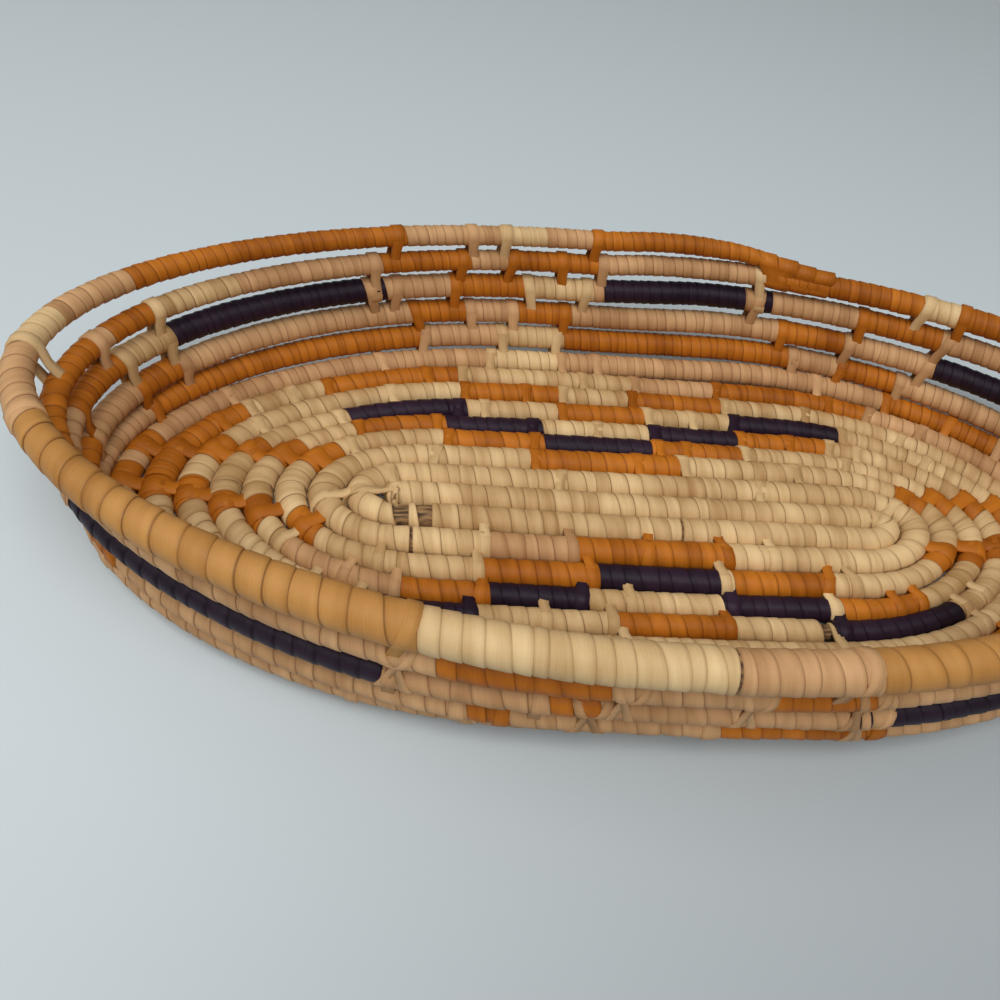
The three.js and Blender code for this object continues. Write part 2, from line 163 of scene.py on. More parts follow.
# The leaf is drawn in where the neighbouring rounds crowd it, and fuller at the base's ends
room = np.full(len(turns), 1.0)
for away in range(round(NEIGHBOUR_FROM * STATIONS), round(NEIGHBOUR_TO * STATIONS), 2):
    apart = np.linalg.norm(points[away:] - points[:-away], axis=1)
    room[away:] = np.minimum(room[away:], apart)
    room[:-away] = np.minimum(room[:-away], apart)
near_tips = np.clip(1 - (1 - np.abs(x) / reach) * ENDS_SHARPNESS, 0, 1)
in_base = blend(turns, 1, START_TURNS) * (1 - blend(turns, BASE_END + 1, WALL_FROM))
fuller = 1 + FULLER_ENDS * near_tips * in_base
leaf_radii = np.minimum(diameters * fuller, room - lay_gaps * GAP_KEPT) / 2
leaf_radii = np.maximum(leaf_radii, LEAST_RADIUS * (turns < 1))
# The rim's end sinks into the round below as it is bound down on it
points[:, 2] -= TIP_SINKS_BY * blend(turns, SINKS_FROM, TURNS)

along = np.gradient(points, axis=0)
along /= np.linalg.norm(along, axis=1)[:, None]
outward = np.cross((0, 0, 1), along)
outward /= np.linalg.norm(outward, axis=1)[:, None]
upward = np.cross(along, outward)

# No weaver keeps a coil quite true: it wanders by a few tenths of a millimetre
WANDER = 0.00022
WANDER_WAVES = (2.3, 5.1, 9.7)
WANDER_FALLS = 0.4
rng = np.random.default_rng(4)
for direction in (outward, upward):
    for waves in WANDER_WAVES:
        phase = rng.uniform(0, 2 * np.pi)
        fall = (waves / WANDER_WAVES[0]) ** WANDER_FALLS
        drift = WANDER * np.sin(2 * np.pi * waves * turns + phase) / fall
        points = points + direction * drift[:, None]

lengths = np.concatenate([[0], np.cumsum(np.linalg.norm(np.diff(points, axis=0), axis=1))])


def in_scene(name, data):
    made = bpy.data.objects.new(name, data)
    bpy.context.scene.collection.objects.link(made)
    return made


course_mesh = bpy.data.meshes.new("coil_course")
course_mesh.from_pydata(points.tolist(), [(i, i + 1) for i in range(len(points) - 1)], [])
for name, values in (("leaf_radius", leaf_radii), ("lean", slopes)):
    course_mesh.attributes.new(name, "FLOAT", "POINT").data.foreach_set("value", values)
course_mesh.attributes.new("outward", "FLOAT_VECTOR", "POINT").data.foreach_set(
    "vector", outward.ravel())
course = in_scene("coil_course", course_mesh)


def result_of(node):
    """The open socket of a node whose kind of output depends on its settings."""
    return next(socket for socket in node.outputs if socket.enabled)


def add(tree, kind, *feeds, **settings):
    """A node with its settings, its open sockets fed in order by values, sockets or nodes."""
    node = tree.nodes.new(kind)
    for name, value in settings.items():
        setattr(node, name, value)
    for socket, feed in zip([s for s in node.inputs if s.enabled], feeds):
        if isinstance(feed, bpy.types.Node):
            feed = result_of(feed)
        if isinstance(feed, bpy.types.NodeSocket):
            tree.links.new(feed, socket)
        elif feed is not None:
            socket.default_value = feed
    return node


def maths(tree, operation, *feeds):
    return add(tree, "ShaderNodeMath", *feeds, operation=operation)


def vectors(tree, operation, *feeds):
    return add(tree, "ShaderNodeVectorMath", *feeds, operation=operation)


def between(tree, share, first, second, kind="FLOAT", **settings):
    return add(tree, "ShaderNodeMix", share, first, second, data_type=kind, **settings)


def stored(tree, name, kind="FLOAT"):
    return add(tree, "GeometryNodeInputNamedAttribute", name, data_type=kind)


def new_tree(name, kind, inputs, outputs):
    tree = bpy.data.node_groups.new(name, kind)
    for label, socket, value in inputs:
        made = tree.interface.new_socket(label, in_out="INPUT", socket_type="NodeSocket" + socket)
        if value is not None:
            made.default_value = value
    for label, socket in outputs:
        tree.interface.new_socket(label, in_out="OUTPUT", socket_type="NodeSocket" + socket)
    return tree, tree.nodes.new("NodeGroupInput").outputs, tree.nodes.new("NodeGroupOutput")


def placed(name, source, tree, **values):
    """An object on which a tree has grown its mesh, at the origin and with no modifier left."""
    piece = in_scene(name, source)
    modifier = piece.modifiers.new("growth", "NODES")
    modifier.node_group = tree
    for item in tree.interface.items_tree:
        label = item.name.lower().replace(" ", "_")
        if item.in_out == "INPUT" and label in values:
            modifier[item.identifier] = values[label]
    bpy.context.view_layer.update()
    graph = bpy.context.evaluated_depsgraph_get()
    grown = bpy.data.meshes.new_from_object(piece.evaluated_get(graph), depsgraph=graph)
    piece.modifiers.remove(modifier)
    grown.name = name
    piece.data = grown
    return piece


# Where a length along the course lies, which way the coil runs there, and how thick it is
spot, spot_in, spot_out = new_tree(
    "place on the course", "GeometryNodeTree",
    [("Course", "Object", None), ("Length", "Float", 0)],
    [("Middle", "Vector"), ("Along", "Vector"), ("Outward", "Vector"), ("Up", "Vector"),
     ("Radius", "Float"), ("Lean", "Float")])
line = add(spot, "GeometryNodeMeshToCurve",
           add(spot, "GeometryNodeObjectInfo", spot_in["Course"]).outputs["Geometry"])
samples = {}
for name, kind in (("outward", "FLOAT_VECTOR"), ("leaf_radius", "FLOAT"), ("lean", "FLOAT")):
    samples[name] = add(spot, "GeometryNodeSampleCurve", line, stored(spot, name, kind),
                        spot_in["Length"], mode="LENGTH", data_type=kind, use_all_curves=True)
tangent = samples["outward"].outputs["Tangent"]
level = result_of(samples["outward"])
for name, feed in (
        ("Middle", samples["outward"].outputs["Position"]), ("Along", tangent),
        ("Outward", level), ("Up", result_of(vectors(spot, "CROSS_PRODUCT", tangent, level))),
        ("Radius", result_of(samples["leaf_radius"])), ("Lean", result_of(samples["lean"]))):
    spot.links.new(feed, spot_out.inputs[name])


def place_on_course(tree, course_socket, length):
    node = add(tree, "GeometryNodeGroup", node_tree=spot)
    tree.links.new(course_socket, node.inputs["Course"])
    tree.links.new(result_of(length), node.inputs["Length"])
    return node.outputs


def off_axis(tree, place, angle, radius):
    """The point at an angle and a distance round the coil's middle."""
    across = maths(tree, "MULTIPLY", maths(tree, "COSINE", angle), radius)
    up = maths(tree, "MULTIPLY", maths(tree, "SINE", angle), radius)
    sideways = vectors(tree, "SCALE", place["Outward"], across)
    raised = vectors(tree, "SCALE", place["Up"], up)
    return vectors(tree, "ADD", place["Middle"], vectors(tree, "ADD", sideways, raised))


def on_the_ground(tree, point):
    """A point, lifted to the ground where it would reach below it."""
    apart = add(tree, "ShaderNodeSeparateXYZ", point)
    return add(tree, "ShaderNodeCombineXYZ", apart.outputs["X"], apart.outputs["Y"],
               maths(tree, "MAXIMUM", apart.outputs["Z"], GROUND))


# Nearer than this, two points are one
HAIR = 0.00001


def hand_out(tree, grid, point, materials, tree_out):
    """A grid bent to its points, closed up and smooth, as what the tree puts out.

    It gets its one material, or each face gets the material of its dye.
    """
    shape = add(tree, "GeometryNodeSetPosition", grid, None, on_the_ground(tree, point))
    shape = add(tree, "GeometryNodeMergeByDistance", shape, None, HAIR)
    shape = add(tree, "GeometryNodeSetShadeSmooth", shape)
    dye = stored(tree, "dye", "INT")
    for number, material in enumerate(materials):
        chosen = add(tree, "FunctionNodeCompare", dye, number, data_type="INT", operation="EQUAL")
        selection = chosen if len(materials) > 1 else None
        shape = add(tree, "GeometryNodeSetMaterial", shape, selection, material)
    shape = add(tree, "GeometryNodeRealizeInstances", shape)
    tree.links.new(shape.outputs[0], tree_out.inputs[0])


def grid_shares(tree):
    """Across and along shares, 0 to 1, of the flat grid that a tree bends into shape."""
    apart = add(tree, "ShaderNodeSeparateXYZ", add(tree, "GeometryNodeInputPosition"))
    return [maths(tree, "ADD", apart.outputs[axis], 0.5) for axis in "XY"]


def with_strip_map(tree, grid, round_share, strip_share):
    """A grid with the map that strip_coordinates reads: round the coil, and on by strips."""
    return add(tree, "GeometryNodeStoreNamedAttribute", grid, None, "UVMap",
               add(tree, "ShaderNodeCombineXYZ", round_share, strip_share, 0),
               data_type="FLOAT2", domain="CORNER")


# A material as the export likes it: what varies comes from groups, the rest is set on it
def shaded(name, roughness=0.5):
    material = bpy.data.materials.new(name)
    material.use_nodes = True
    surface = material.node_tree.nodes["Principled BSDF"]
    surface.inputs["Roughness"].default_value = roughness
    return material, material.node_tree, surface


def in_relief(tree, surface, height, strength, depth):
    relief = add(tree, "ShaderNodeBump")
    relief.inputs["Strength"].default_value = strength
    relief.inputs["Distance"].default_value = depth
    tree.links.new(height, relief.inputs["Height"])
    tree.links.new(relief.outputs[0], surface.inputs["Normal"])


# A strip's number is whole up to this much short of it
WHOLE_SLACK = 0.0001


def strip_coordinates(tree):
    """Along the strip in turns round the coil, across it from 0 to 1, and the wrap's number."""
    place = add(tree, "ShaderNodeSeparateXYZ", add(tree, "ShaderNodeUVMap", uv_map="UVMap"))
    wrap = maths(tree, "FLOOR", maths(tree, "ADD", place.outputs["Y"], WHOLE_SLACK))
    across = maths(tree, "SUBTRACT", place.outputs["Y"], wrap)
    return maths(tree, "ADD", place.outputs["X"], wrap), across, wrap


# Stems lie side by side round the bundle, with a slow lay like a rope's
STEM_COUNT = 9
STEM_RELIEF = 0.00035
STEM_LAY = 14
BUNDLE_STEP = 0.003
TIP_INSET = 0.0036
STEMS_SEEN = 18
STEM_STRETCH = 0.6
GRASS_TONES = ((0.38, (0.055, 0.026, 0.01, 1)), (0.64, (0.34, 0.19, 0.075, 1)))
GRASS_ROUGHNESS = 0.8
GRASS_RELIEF = (0.6, 0.0002)
grass, tree, surface = shaded("dry_grass", GRASS_ROUGHNESS)
stem_along, stem_across, stem_wrap = strip_coordinates(tree)
fibre = add(tree, "ShaderNodeTexNoise",
            add(tree, "ShaderNodeCombineXYZ", maths(tree, "MULTIPLY", stem_along, STEMS_SEEN),
                maths(tree, "MULTIPLY", stem_across, STEM_STRETCH), stem_wrap), 1, 2)
tones = add(tree, "ShaderNodeValToRGB", fibre.outputs[0])
for stop, (position, colour) in zip(tones.color_ramp.elements, GRASS_TONES):
    stop.position = position
    stop.color = colour
tree.links.new(tones.outputs[0], surface.inputs["Base Color"])
in_relief(tree, surface, fibre.outputs[0], *GRASS_RELIEF)

bundle, bundle_in, bundle_out = new_tree(
    "grass bundle", "GeometryNodeTree",
    [("Geometry", "Geometry", None), ("Course", "Object", None), ("Start", "Float", 0),
     ("End", "Float", 1), ("Stems", "Int", STEM_COUNT), ("Relief", "Float", STEM_RELIEF),
     ("Lay", "Float", STEM_LAY), ("Leaf", "Float", LEAF_THICKNESS),
     ("Step", "Float", BUNDLE_STEP), ("Grass", "Material", None)],
    [("Geometry", "Geometry")])
sides = maths(bundle, "MULTIPLY", bundle_in["Stems"], 2)
span = maths(bundle, "SUBTRACT", bundle_in["End"], bundle_in["Start"])
rings = maths(bundle, "CEIL", maths(bundle, "DIVIDE", span, bundle_in["Step"]))
grid = add(bundle, "GeometryNodeMeshGrid", 1, 1, maths(bundle, "ADD", sides, 1), rings)
round_share, along_share = grid_shares(bundle)
shape = with_strip_map(bundle, grid, round_share, maths(bundle, "MULTIPLY", along_share, rings))
length = maths(bundle, "MULTIPLY_ADD", along_share, span, bundle_in["Start"])
place = place_on_course(bundle, bundle_in["Course"], length)
corner = maths(bundle, "ROUND", maths(bundle, "MULTIPLY", round_share, sides))
hollow = maths(bundle, "MULTIPLY", maths(bundle, "MODULO", corner, 2), bundle_in["Relief"])
core = maths(bundle, "SUBTRACT", place["Radius"], bundle_in["Leaf"])
core = maths(bundle, "SUBTRACT", core, hollow)
past_ends = maths(bundle, "PINGPONG", along_share, 0.5)
core = maths(bundle, "MULTIPLY", core, maths(bundle, "GREATER_THAN", past_ends, HAIR))
angle = maths(bundle, "MULTIPLY_ADD", round_share, 2 * np.pi,
              maths(bundle, "MULTIPLY", length, bundle_in["Lay"]))
hand_out(bundle, shape, off_axis(bundle, place, angle, core), [bundle_in["Grass"]], bundle_out)
foundation = placed("grass_bundle", bpy.data.meshes.new("bundle_start"), bundle, course=course,
                    start=TIP_INSET, end=float(lengths[-1]) - TIP_INSET, grass=grass)
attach(foundation, "root")
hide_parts("foundation_bundle")

# The wrapped leaf: strips of palm leaf, natural or dyed tan, orange or purple-black, wound
# tightly round the bundle. Each wrap laps a little over the one before, and a dark line of
# painted shade shows where they meet. A run of wraps stands for each node of the part.
FIBRE_COUNT = 22
FIBRE_STRETCH = 1.7
FIBRE_NOISE = (2, 3, 0.6)
DRIFT_NOISE = (1.6, 1)
DRIFT_LEVEL = 7.3
STAIN_NOISE = (32, 2)
WRAPS_TO_A_STRIP = 5
OWN_TONE = 0.35
STRIP_TONE = 0.3
# Painted shade: each wrap's colour darkens by this much towards both of its edges, from this
# share of the way out from its middle
PAINTED_EDGE_SHADE = -0.12
EDGE_SHADE_STARTS = 0.6
# Painted shade where the wraps meet: a dark band at each wrap's first edge, of varying width, a
# darker lip at its other edge under the next wrap's lap, and a depth that changes from wrap to
# wrap down to the faintest
SEAM_WIDTH = (0.14, -0.015)
LIP_FROM = 0.95
LIP_SHADE = 0.6
FAINTEST_SEAM_SHADE = 0.4
GLOSS_CHANGE = 0.25
# Shadow is the colour of the painted shade in the seams, and Seam how strongly it is painted
leaf_surface, leaf_in, leaf_out = new_tree(
    "leaf surface", "ShaderNodeTree",
    [("Deep", "Color", None), ("Pale", "Color", None), ("Shadow", "Color", None),
     ("Fibre", "Float", 0.5), ("Seam", "Float", 0.6), ("Tone", "Float", 0.5),
     ("Fibre Count", "Float", FIBRE_COUNT), ("Roughness", "Float", 0.5)],
    [("Colour", "Color"), ("Roughness", "Float"), ("Height", "Float")])
L = leaf_surface


def eased(tree, value, *limits):
    return add(tree, "ShaderNodeMapRange", value, *limits, interpolation_type="SMOOTHSTEP")


strip_along, strip_across, strip_number = strip_coordinates(L)
streaks = add(L, "ShaderNodeTexNoise",
              add(L, "ShaderNodeCombineXYZ", maths(L, "MULTIPLY", strip_along, FIBRE_STRETCH),
                  maths(L, "MULTIPLY", strip_across, leaf_in["Fibre Count"]), 0), *FIBRE_NOISE)
streak = maths(L, "SUBTRACT", streaks.outputs[0], 0.5)
drift = add(L, "ShaderNodeTexNoise",
            add(L, "ShaderNodeCombineXYZ", strip_along, strip_across, DRIFT_LEVEL), *DRIFT_NOISE)
own = add(L, "ShaderNodeTexWhiteNoise", strip_number, noise_dimensions="1D").outputs["Value"]
of_strip = add(L, "ShaderNodeTexWhiteNoise",
               maths(L, "FLOOR", maths(L, "DIVIDE", strip_number, WRAPS_TO_A_STRIP)),
               noise_dimensions="1D").outputs["Value"]
stain = add(L, "ShaderNodeTexNoise", add(L, "ShaderNodeTexCoord").outputs["Object"], *STAIN_NOISE)
strip_tone = maths(L, "ADD", maths(L, "MULTIPLY_ADD", own, OWN_TONE, -OWN_TONE / 2),
                   maths(L, "MULTIPLY_ADD", of_strip, STRIP_TONE, -STRIP_TONE / 2))
strip_tone = maths(L, "ADD", strip_tone, maths(L, "SUBTRACT", drift.outputs[0], 0.5))
tone = maths(L, "ADD", maths(L, "MULTIPLY", streak, leaf_in["Fibre"]),
             maths(L, "MULTIPLY", strip_tone, leaf_in["Tone"]))
# Painted shade: darker towards both edges of each wrap
off_middle = maths(L, "ABSOLUTE", maths(L, "SUBTRACT", strip_across, 0.5))
edge = eased(L, maths(L, "MULTIPLY", off_middle, 2), EDGE_SHADE_STARTS, 1, 0, PAINTED_EDGE_SHADE)
tone = maths(L, "ADD", tone, edge)
tone = maths(L, "ADD", tone, stain.outputs[0])
# The dye's deep and pale colours mixed by the tone, with the painted edge shade in it
dyed_and_edge_shaded = between(L, tone, leaf_in["Deep"], leaf_in["Pale"], "RGBA", clamp_factor=True)
# Painted shade in the seams: a band at each wrap's first edge and a lip at its other edge, mixed
# towards the dye's shadow colour by a depth that changes from wrap to wrap
seam_width = maths(L, "MULTIPLY_ADD", drift.outputs[0], *SEAM_WIDTH)
seam = eased(L, strip_across, 0, seam_width, 1, 0)
lip = eased(L, strip_across, LIP_FROM, 1, 0, LIP_SHADE)
seam_shade_depth = maths(L, "MULTIPLY_ADD", own, 1 - FAINTEST_SEAM_SHADE, FAINTEST_SEAM_SHADE)
seam_shade_mask = maths(L, "MULTIPLY", maths(L, "MAXIMUM", seam, lip),
                  maths(L, "MULTIPLY", leaf_in["Seam"], seam_shade_depth))
with_seam_shade = between(L, seam_shade_mask, dyed_and_edge_shaded, leaf_in["Shadow"], "RGBA")
L.links.new(result_of(with_seam_shade), leaf_out.inputs["Colour"])
rough = maths(L, "MULTIPLY_ADD", streak, GLOSS_CHANGE, leaf_in["Roughness"])
L.links.new(rough.outputs[0], leaf_out.inputs["Roughness"])
height = maths(L, "MULTIPLY_ADD", seam_shade_mask, -1, streaks.outputs[0])
L.links.new(height.outputs[0], leaf_out.inputs["Height"])

# Each dye: deep and pale colour, the colour of the painted shade in its seams, how strongly that
# shade is painted, fibre, tone and roughness
FINISH = ("Deep", "Pale", "Shadow", "Seam", "Fibre", "Tone", "Roughness")
DYES = {
    "natural": ((0.40, 0.225, 0.085), (0.78, 0.55, 0.28), (0.11, 0.045, 0.012), 1, 0.9, 1, 0.5),
    "cream": ((0.46, 0.28, 0.115), (0.82, 0.60, 0.32), (0.19, 0.09, 0.03), 0.6, 0.7, 0.7, 0.48),
    "tan": ((0.38, 0.195, 0.08), (0.67, 0.395, 0.19), (0.11, 0.042, 0.013), 0.9, 0.8, 1, 0.52),
    "orange": ((0.27, 0.070, 0.003), (0.58, 0.185, 0.014), (0.07, 0.018, 0.001),
               0.9, 0.7, 0.9, 0.5),
    "purple": ((0.008, 0.003, 0.008), (0.030, 0.014, 0.030), (0.002, 0.001, 0.002),
               0.9, 0.8, 0.6, 0.46),
    "honey": ((0.33, 0.14, 0.03), (0.58, 0.29, 0.082), (0.09, 0.028, 0.004), 1, 0.7, 0.8, 0.48),
}
LEAF_SHEEN = 0.2
LEAF_RELIEF = (0.5, 0.00025)
dyes = list(DYES)
leaves = []
for name, finish in DYES.items():
    leaf, tree, surface = shaded(name + "_leaf")
    group = add(tree, "ShaderNodeGroup", node_tree=leaf_surface)
    for label, value in zip(FINISH, finish):
        group.inputs[label].default_value = (*value, 1) if isinstance(value, tuple) else value
    tree.links.new(group.outputs["Colour"], surface.inputs["Base Color"])
    tree.links.new(group.outputs["Roughness"], surface.inputs["Roughness"])
    in_relief(tree, surface, group.outputs["Height"], *LEAF_RELIEF)
    surface.inputs["Specular IOR Level"].default_value = LEAF_SHEEN
    leaves.append(leaf)

# Rings to a wrap: six, close together where two wraps meet
WRAP_RINGS = 6
HALF_RING = 0.5 / WRAP_RINGS
LAP = 0.0003
BULGE = 0.00008
CREASE = 0.04
FLUTTER = 0.0004
FLUTTER_NOISE = (140, 1)
WORN_LEAF = 0.0009
LEAF_SIDES = 24
wrapping, wrap_in, wrap_out = new_tree(
    "wrapped leaf", "GeometryNodeTree",
    [("Geometry", "Geometry", None), ("Course", "Object", None), ("Sides", "Int", LEAF_SIDES),
     ("Wrap", "Float", 0), ("Lap", "Float", LAP), ("Bulge", "Float", BULGE),
     ("Crease", "Float", CREASE), ("Flutter", "Float", FLUTTER), ("Label", "Float", 0),
     ("Leaf", "Float", WORN_LEAF)]
    + [(dye.title(), "Material", None) for dye in dyes + ["bare"]],
    [("Geometry", "Geometry")])
W = wrapping
edge_count = add(W, "GeometryNodeAttributeDomainSize", wrap_in["Geometry"]).outputs["Point Count"]
last_edge = maths(W, "SUBTRACT", edge_count, 1)


def at_point(number, value, kind):
    return add(W, "GeometryNodeSampleIndex", wrap_in["Geometry"], value, number,
               data_type=kind, domain="POINT", clamp=True)


def edge_place(number):
    """Length along the course of a wrap's edge, which goes on evenly past both ends."""
    inside = add(W, "ShaderNodeClamp", number, 0, last_edge)
    known = at_point(inside, stored(W, "place"), "FLOAT")
    past = maths(W, "MULTIPLY", maths(W, "SUBTRACT", number, inside), wrap_in["Wrap"])
    return maths(W, "ADD", known, past)


def seam_place(phase):
    """Where the seam that winds round the coil has come to, after so many turns of it."""
    whole = maths(W, "FLOOR", phase)
    before, after = edge_place(whole), edge_place(maths(W, "ADD", whole, 1))
    return between(W, maths(W, "SUBTRACT", phase, whole), before, after, clamp_factor=False)


def dye_of(strip):
    """The dye of a wrap, where the rings past a run's ends have its first or last wrap's."""
    inside = add(W, "ShaderNodeClamp", strip, 0, maths(W, "SUBTRACT", last_edge, 1))
    return at_point(inside, stored(W, "dye", "INT"), "INT")


rings = maths(W, "MULTIPLY_ADD", maths(W, "ADD", last_edge, 2), WRAP_RINGS, 1)
grid = add(W, "GeometryNodeMeshGrid", 1, 1, maths(W, "ADD", wrap_in["Sides"], 1), rings)
round_share, along_share = grid_shares(W)
last_ring = maths(W, "SUBTRACT", rings, 1)
ring_place = maths(W, "MULTIPLY", along_share, last_ring)
ring = maths(W, "ROUND", ring_place)
from_start = maths(W, "DIVIDE", ring, WRAP_RINGS)
strip = maths(W, "FLOOR", maths(W, "ADD", from_start, HALF_RING))
step = maths(W, "SUBTRACT", from_start, strip)
strip = maths(W, "SUBTRACT", strip, 1)
across = maths(W, "COSINE", maths(W, "MULTIPLY", step, np.pi))
across = maths(W, "MULTIPLY_ADD", across, -0.5, 0.5)
phase = maths(W, "ADD", strip, round_share)
length = between(W, across, seam_place(phase), seam_place(maths(W, "ADD", phase, 1)))
length = maths(W, "MULTIPLY_ADD", wrap_in["Wrap"], -0.5, length)
# The ends of a run follow the slant of the seam, and turn back where it is hidden. The
# start's tip is cut off square.
STEEP = 5.25
slant = maths(W, "MINIMUM", maths(W, "SUBTRACT", round_share, 0.5),
              maths(W, "MULTIPLY", maths(W, "SUBTRACT", 1, round_share), STEEP))
slant = maths(W, "MAXIMUM", slant, maths(W, "MULTIPLY", round_share, -STEEP))
slant = maths(W, "MULTIPLY", slant, wrap_in["Wrap"])
run_start, run_end = edge_place(0), edge_place(last_edge)
first_slant = maths(W, "MULTIPLY", slant, maths(W, "GREATER_THAN", run_start, HAIR))
length = add(W, "ShaderNodeClamp", length, maths(W, "ADD", run_start, first_slant),
             maths(W, "ADD", run_end, slant))
at_first = maths(W, "LESS_THAN", ring, 0.5)
at_last = maths(W, "GREATER_THAN", ring, maths(W, "SUBTRACT", last_ring, 0.5))
length = between(W, at_first, length, run_start)
length = between(W, at_last, length, run_end)
place = place_on_course(W, wrap_in["Course"], length)
at_tip = maths(W, "LESS_THAN", length, HAIR)
# On the start's tip the map reads the middle of a strip, so no painted seam shade falls on it
label = between(W, at_tip, maths(W, "ADD", strip, across), 0.5)
shape = with_strip_map(W, grid, round_share, maths(W, "ADD", label, wrap_in["Label"]))
face_strip = maths(W, "FLOOR", maths(W, "DIVIDE", ring_place, WRAP_RINGS))
shape = add(W, "GeometryNodeStoreNamedAttribute", shape, None, "dye",
            dye_of(maths(W, "SUBTRACT", face_strip, 1)), data_type="INT", domain="FACE")
belly = maths(W, "MULTIPLY_ADD", across, 2, -1)
belly = maths(W, "SUBTRACT", 1, maths(W, "MULTIPLY", belly, belly))
lift = maths(W, "MULTIPLY", wrap_in["Lap"], maths(W, "SUBTRACT", 0.5, across))
lift = maths(W, "MULTIPLY_ADD", belly, wrap_in["Bulge"], lift)
crease = maths(W, "MULTIPLY", maths(W, "MULTIPLY", wrap_in["Crease"], wrap_in["Wrap"]), -1)
lift = between(W, maths(W, "LESS_THAN", step, HALF_RING), lift, crease)
wobble = add(W, "ShaderNodeTexNoise", off_axis(W, place, 0, place["Radius"]), *FLUTTER_NOISE)
wobble = maths(W, "MULTIPLY", maths(W, "SUBTRACT", wobble.outputs[0], 0.5), wrap_in["Flutter"])
lift = maths(W, "MULTIPLY", maths(W, "ADD", lift, wobble), maths(W, "SUBTRACT", 1, at_tip))
radius = maths(W, "ADD", place["Radius"], lift)
worn = add(W, "FunctionNodeCompare", dye_of(strip), len(dyes), data_type="INT",
           operation="EQUAL")
radius = maths(W, "SUBTRACT", radius, maths(W, "MULTIPLY", worn, wrap_in["Leaf"]))
closing = maths(W, "SUBTRACT", 1, maths(W, "ADD", at_first, at_last))
radius = maths(W, "MULTIPLY", radius, closing)
angle = maths(W, "MULTIPLY_ADD", round_share, 2 * np.pi, maths(W, "ADD", place["Lean"], np.pi))
hand_out(W, shape, off_axis(W, place, angle, radius),
         [wrap_in[dye.title()] for dye in dyes + ["bare"]], wrap_out)

# The pattern: stepped blocks of purple-black leaf on both long sides of the base, and long
# purple bars in the open wall, worked in by changing the strip. The runs between them are
# divided as the part divides them, and each stands for one node.
MIDDLE_BLOCK = 0.046
PATTERN_STEP = 0.037
PATTERNS = (("back", 3, -0.011), ("front", 2, 0.003))
WALL_BARS = (("back", 11, -0.946, -0.578), ("back", 11, -0.061, 0.256),
             ("back", 10, 0.69, 0.912), ("front", 10, 0.4, 0.834), ("front", 10, -0.99, -0.478))
HALF_LENGTH = HALF_BAR + outs[-1]
SPLIT_ROUNDS = (6, 7, 8, 9, 11, 12)
FOOT_SEAM = 8.8
WHOLE_SHARE = 0.75
BARE_LENGTH = 0.005
SAME_TURN = 1e-6
ROUND_DYES = ["natural"] * 7 + ["tan", "tan", "orange", "tan", "tan", "orange", "orange"]
coil_x = np.where(in_front, -x, x)


def turn_at(side, number, where):
    """The turn on one side of a round where the coil passes a place along the bowl."""
    low = round((number + (0.5 if side == "front" else 0)) * STATIONS)
    here = slice(low, min(low + STATIONS // 2, len(turns) - 1) + 1)
    ahead = coil_x[here] * (-1 if side == "front" else 1)
    return float(np.interp(where * (-1 if side == "front" else 1), ahead, turns[here]))


def turns_between(side, number, low, high):
    return sorted((turn_at(side, number, low), turn_at(side, number, high)))


blocks = []
for side, number, centre in PATTERNS:
    edges = [MIDDLE_BLOCK / 2 + PATTERN_STEP * step for step in range(3)]
    blocks.append((side, number, centre - edges[0], centre + edges[0]))
    for step in (1, 2):
        blocks.append((side, number + step, centre - edges[step], centre - edges[step - 1]))
        blocks.append((side, number + step, centre + edges[step - 1], centre + edges[step]))
blocks += [(side, number, low * HALF_LENGTH, high * HALF_LENGTH)
           for side, number, low, high in WALL_BARS]
purple_spans = sorted((*turns_between(*block), block[0]) for block in blocks)
# Grass shows where the leaf starts late, past the first of the front's outermost blocks
bare_turn = next(end for start, end, side in purple_spans
                 if side == "front" and start > PATTERNS[1][1] + 2)
ends = []
for number in range(1, int(TURNS) + 1):
    ends += [number] + ([number + 0.5] if number in SPLIT_ROUNDS else [])
ends = sorted(ends + [FOOT_SEAM, TURNS])
runs = []
at = 0
for start, end, side in purple_spans + [(TURNS, TURNS, "back")]:
    for stop in [stop for stop in ends if at < stop < start] + [start]:
        if stop > at:
            runs.append((at, stop, ROUND_DYES[int(at + SAME_TURN)]))
        at = stop
    if end > start:
        runs.append((start, end, "purple"))
    at = end

